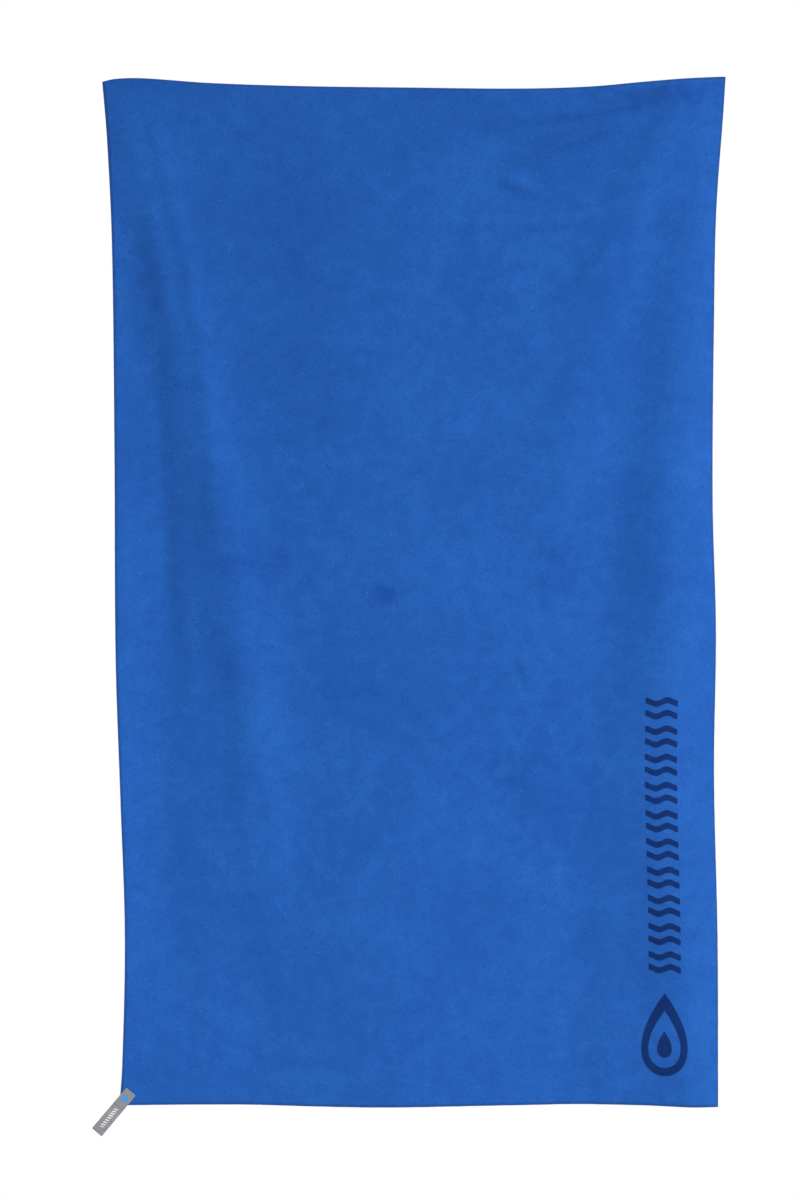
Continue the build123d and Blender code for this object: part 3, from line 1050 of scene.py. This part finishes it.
@dataclass
class HangingLoop:
    """The woven ribbon: folded in half, sewn to both faces of the corner, free beyond it."""

    drape: Drape
    width: float = 18 * MM
    thickness: float = 0.6 * MM
    tilt: float = math.radians(50)
    sewn_length: float = 26 * MM
    sewn_corner: float = 2 * MM
    hinge_gap: float = 4.2 * MM
    loop_length: float = 47 * MM
    lay: float = 1.0 * MM
    nip: float = 0.32 * MM
    nip_start: float = 0.9 * MM
    nip_end: float = 3.6 * MM
    open_start: float = 10.8 * MM
    open_end: float = 24.2 * MM
    half_gap: float = 3.0 * MM
    bend_radius: float = 2.7 * MM
    rib_pitch: float = 0.9 * MM
    rib_height: float = 0.025 * MM
    row_step: float = 0.18 * MM
    least_gap: float = 0.02 * MM
    columns: int = 15
    blend_reach: float = 3.2 * MM
    thread: float = 0.2 * MM
    stitch_pitch: float = 2.8 * MM
    stitch_gap: float = 0.7 * MM
    stitch_points: int = 9
    stitch_sides: int = 6
    arch_top: float = 0.9
    arch_fall: float = 2.2
    tack_inset: float = 2.6 * MM
    tack_length: float = 16.8 * MM
    tack_width: float = 11.2 * MM
    thread_finish: SpunThread = SpunThread("loop_polyester_thread", "#A9A4A3", "#7C7674", 0.7 * MM)

    def __post_init__(self) -> None:
        """Works out the ribbon's own directions: along it, and across it to the right."""
        self.along = np.array([-math.cos(self.tilt), 0.0, -math.sin(self.tilt)])
        self.across = np.array([math.sin(self.tilt), 0.0, -math.cos(self.tilt)])
        self.corner = self.drape.point(*(np.array(v) for v in self.drape.corner))

    def side_view(self) -> Array:
        """The middle of the ribbon's thickness seen from its side, as (distance, y) points.

        The front leg lies on the cloth, is drawn in beyond the corner by a smooth step and
        opens again by another; two quarter circles make the fold; and the back leg mirrors
        the front one.
        """
        end = self.hinge_gap + self.loop_length - self.thickness / 2
        distance = np.arange(-self.sewn_length, end - self.bend_radius, self.row_step)
        drawn = smooth_step((distance - self.nip_start) / (self.nip_end - self.nip_start))
        opened = smooth_step((distance - self.open_start) / (self.open_end - self.open_start))
        y = -self.lay + (self.lay - self.nip) * drawn - (self.half_gap - self.nip) * opened
        leg = np.stack([distance, y], axis=-1)
        turn = np.linspace(0, np.pi / 2, round(self.bend_radius * np.pi / 2 / self.row_step))
        bend = np.stack([end - self.bend_radius * (1 - np.sin(turn)),
                         -self.half_gap + self.bend_radius * (1 - np.cos(turn))], axis=-1)
        front = np.concatenate([leg, bend])
        back = front[::-1] * (1, -1)
        return np.concatenate([front, back])

    def build(self) -> list[Piece]:
        """Makes the ribbon and its stitching, and dresses them."""
        line = self.side_view()
        gaps = np.linalg.norm(np.diff(line, axis=0), axis=1)
        line = line[np.concatenate([[True], gaps > self.least_gap])]
        run = run_length(line)
        tangent = unit(np.gradient(line, axis=0))
        square = np.stack([-tangent[:, 1], tangent[:, 0]], axis=-1)
        line = line + square * (self.rib_height * np.sin(2 * np.pi * run / self.rib_pitch))[:, None]
        from_end = np.clip(np.minimum(run, run[-1] - run), 0, self.sewn_corner)
        half = (self.width / 2 - self.sewn_corner
                + np.sqrt(self.sewn_corner**2 - (self.sewn_corner - from_end) ** 2))
        share = np.linspace(-1, 1, self.columns)
        sideways = half[:, None] * share
        points = (self.corner + line[:, None, :1] * self.along
                  + sideways[:, :, None] * self.across)
        points[:, :, 1] += line[:, 1:]
        cut = np.stack(np.broadcast_arrays(sideways + self.width / 2, run[:, None]), axis=-1)
        ribbon = sheet_piece("ribbon_loop", points, cut, self.thickness)
        ribbon.data.materials.append(WovenRibbon(self.width).material())
        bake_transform(ribbon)
        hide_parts("hanging_loop", "loop_end_front", "loop_end_back")
        stitches = self.stitches()
        return [ribbon, stitches]

    def stitches(self) -> Piece:
        """The tack: a box of lockstitches round the sewn ends and a bar across its middle.

        A stitch's path goes along its line, and its height over the ribbon is a fourth-power
        arch, in thread radii, whose two feet go down into the ribbon.
        """
        start = -self.sewn_length + self.tack_inset
        middle = start + self.tack_length / 2
        half = self.tack_width / 2
        edge = 2 * self.thread
        lines = [(start - edge, 0, True), (middle, 0, True),
                 (start + self.tack_length + edge, 0, True),
                 (middle, -half - edge, False), (middle, half + edge, False)]
        places, directions = [], []
        for distance, side, runs_across in lines:
            length = self.tack_width if runs_across else self.tack_length
            count = round(length / self.stitch_pitch)
            shift = (np.arange(count) - (count - 1) / 2)[:, None] * self.stitch_pitch
            direction = self.across if runs_across else self.along
            places.append(self.along * distance + self.across * side + shift * direction)
            directions.append(np.repeat(direction[None], count, axis=0))
        places, directions = np.concatenate(places), np.concatenate(directions)
        share = np.linspace(-1, 1, self.stitch_points)
        half_length = (self.stitch_pitch - self.stitch_gap) / 2
        surface = self.lay + self.thickness / 2
        arch = surface + self.thread * (self.arch_top - self.arch_fall * share**4)
        paths, outward = [], []
        for face in (-1, 1):
            path = (self.corner + places[:, None]
                    + directions[:, None] * (share * half_length)[:, None])
            path[:, :, 1] += face * arch
            paths.append(path)
            outward.append(np.broadcast_to([0.0, float(face), 0.0], path.shape))
        piece = tube_piece("ribbon_stitches", np.concatenate(paths), np.concatenate(outward),
                           self.thread, self.thread, self.stitch_sides)
        piece.data.materials.append(self.thread_finish.material())
        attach(piece, Body.TOWEL.value)
        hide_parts("loop_stitching")
        return piece


@dataclass
class CareLabel:
    """The care label: satin tape folded in half, caught under the edging behind the towel."""

    drape: Drape
    x: float = 60 * MM
    width: float = 25 * MM
    length: float = 40 * MM
    thickness: float = 0.26 * MM
    caught: float = 2.0 * MM
    clear: float = 3.4 * MM
    end_bottom: float = 6.0 * MM
    hinge_gap: float = 0.8 * MM
    lie: float = 0.56 * MM
    press: float = 0.16 * MM
    press_reach: float = 1.4 * MM
    ease_start: float = 3.0 * MM
    ease_length: float = 9.0 * MM
    fold_radius: float = 0.155 * MM
    bend_points: int = 8
    blend_reach: float = 1.2 * MM
    columns: int = 15
    step: float = 0.35 * MM

    def build(self) -> Piece:
        """Makes the folded tape and dresses it.

        Its inner layer follows the cloth at the top and eases into a flat hanging plane; a
        half circle folds it up again, and the outer layer follows the inner one.
        """
        top = float(self.drape.top.at(np.array(self.x)))
        low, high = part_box("care_label")
        plane = (low.y + high.y) / 2
        foot = float(low.z)
        hinge = top - self.end_bottom - self.hinge_gap
        radius = self.fold_radius
        x = self.x + np.linspace(-0.5, 0.5, self.columns) * self.width
        heights = np.arange(top - self.caught, foot + radius, -self.step)
        inner = self.layer(x, heights, top, hinge, plane - radius)
        turn = np.linspace(0, np.pi, self.bend_points)[1:-1]
        bend = np.stack(np.broadcast_arrays(
            x, plane - radius * np.cos(turn)[:, None],
            foot + radius - radius * np.sin(turn)[:, None]), axis=-1)
        outer = self.layer(x, heights[heights < top - self.clear][::-1], top, hinge,
                           plane - radius)
        outer[:, :, 1] += 2 * radius
        points = np.concatenate([inner, bend, outer])
        run = run_length(points[:, self.columns // 2])
        cut = np.stack(np.broadcast_arrays(x - x[0], run[:, None]), axis=-1)
        piece = sheet_piece("care_tape", points, cut, self.thickness)
        piece.data.materials.append(SatinTape(self.width).material())
        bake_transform(piece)
        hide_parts("care_label", "care_label_end")
        return piece

    def layer(self, x: Array, heights: Array, top: float, hinge: float, plane: float) -> Array:
        """One layer's points: pressed to the cloth at the top, flat in its plane lower down."""
        z = heights[:, None]
        risen = smooth_step((top - self.caught - z) / self.press_reach)
        pressed = self.lie - self.press * (1 - risen)
        on_cloth = self.drape.point(x[None], z, pressed)[:, :, 1]
        hanging = smooth_step((hinge + self.ease_start - z) / self.ease_length)
        y = on_cloth + (plane - on_cloth) * hanging
        return np.stack(np.broadcast_arrays(x[None], y, z), axis=-1)


# ------------------------------------------------------------------ studio
@dataclass(frozen=True)
class Lamp:
    """A soft oblong lamp: its place, its width and height, and its power in watts."""

    name: str
    place: tuple[float, float, float]
    size: tuple[float, float]
    power: float


@dataclass
class Studio:
    """The camera, a pale round floor under the towel, and soft white light."""

    aim: tuple[float, float, float] = (-0.0254, 0.0, -0.7565)
    distance: float = 4.5
    view_height: float = 1.740
    sensor: float = 36.0
    floor_z: float = -2.05
    floor_radius: float = 1.75
    floor_hole: float = 0.001
    floor_turns: int = 97
    floor_rings: int = 6
    key_power: float = 2.15
    key_softness: float = 24.0
    key_side: float = 52.0
    key_height: float = 38.0
    ambient: float = 0.27
    lamps: tuple[Lamp, ...] = (
        Lamp("fill_lamp", (-2.6, -3.8, 0.4), (2.6, 2.6), 28.0),
        Lamp("back_lamp", (-1.8, 3.8, 0.6), (2.4, 2.4), 110.0),
        Lamp("right_strip", (1.0, -0.75, -0.65), (0.3, 1.7), 5.5),
        Lamp("left_strip", (-1.0, -0.75, -1.05), (0.3, 1.1), 1.8),
    )

    def build(self) -> None:
        """Makes the camera, the floor, the lamps and the white surroundings."""
        self.camera()
        self.floor()
        self.key()
        for lamp in self.lamps:
            self.hang(lamp)
        self.surroundings()
        view = bpy.context.scene.view_settings
        view.view_transform = "Standard"
        view.look = "None"

    def camera(self) -> None:
        """A level camera straight in front, whose long side covers the view height."""
        data = bpy.data.cameras.new("camera")
        data.sensor_width = self.sensor
        data.lens = self.sensor * self.distance / self.view_height
        camera = bpy.data.objects.new("camera", data)
        camera.location = (self.aim[0], -self.distance, self.aim[2])
        camera.rotation_euler = (math.radians(90), 0.0, 0.0)
        bpy.context.scene.collection.objects.link(camera)
        bpy.context.scene.camera = camera

    def floor(self) -> None:
        """A disc well below the towel, as rings of a fan about its middle."""
        turn, out = np.meshgrid(np.linspace(0, 2 * np.pi, self.floor_turns),
                                np.linspace(self.floor_hole, 1, self.floor_rings))
        points = np.stack([self.floor_radius * out * np.cos(turn),
                           self.floor_radius * out * np.sin(turn),
                           np.full_like(turn, self.floor_z)], axis=-1)
        floor = mesh_piece("studio_floor", points, grid_faces(*turn.shape), points[:, :, :2])
        floor.data.materials.append(StudioFloor().material())

    def key(self) -> None:
        """Broad distant light from the front right and above, the same all over."""
        data = bpy.data.lights.new("key_light", "SUN")
        data.energy = self.key_power
        data.angle = math.radians(self.key_softness)
        key = bpy.data.objects.new("key_light", data)
        key.rotation_euler = (math.radians(90 - self.key_height), 0.0,
                              math.radians(self.key_side))
        bpy.context.scene.collection.objects.link(key)

    def hang(self, lamp: Lamp) -> None:
        """Puts a lamp in its place, facing the middle of the towel."""
        data = bpy.data.lights.new(lamp.name, "AREA")
        data.shape = "RECTANGLE"
        data.size, data.size_y = lamp.size
        data.energy = lamp.power
        light = bpy.data.objects.new(lamp.name, data)
        light.location = lamp.place
        away = light.location - type(light.location)(self.aim)
        light.rotation_euler = away.to_track_quat("Z", "Y").to_euler()
        bpy.context.scene.collection.objects.link(light)

    def surroundings(self) -> None:
        """White all round to look at, and a softer white to light by."""
        world = bpy.data.worlds.new("white_studio")
        world.use_nodes = True
        nodes = Nodes(world.node_tree)
        path = nodes.add("LightPath")
        seen = nodes.add("Background", {}, {"Color": (1, 1, 1, 1), "Strength": 1.0})
        light = nodes.add("Background", {}, {"Color": (1, 1, 1, 1), "Strength": self.ambient})
        mixed = nodes.add("MixShader", {},
                          {0: path.outputs["Is Camera Ray"], 1: light.outputs[0],
                           2: seen.outputs[0]})
        nodes.add("OutputWorld", {}, {"Surface": mixed.outputs[0]})
        bpy.context.scene.world = world


def main() -> None:
    """Builds the studio and every piece of the towel, in order."""
    logging.basicConfig(level=logging.INFO, format="%(name)s: %(message)s")
    Studio().build()
    drape = Drape()
    cloth = Cloth(drape).build()
    edging = Overlock(drape).build()
    loop = HangingLoop(drape).build()
    label = CareLabel(drape).build()
    for piece in (cloth, *edging, *loop, label):
        log.info("%s: %d faces", piece.name, len(piece.data.polygons))


if __name__ == "__main__":
    main()
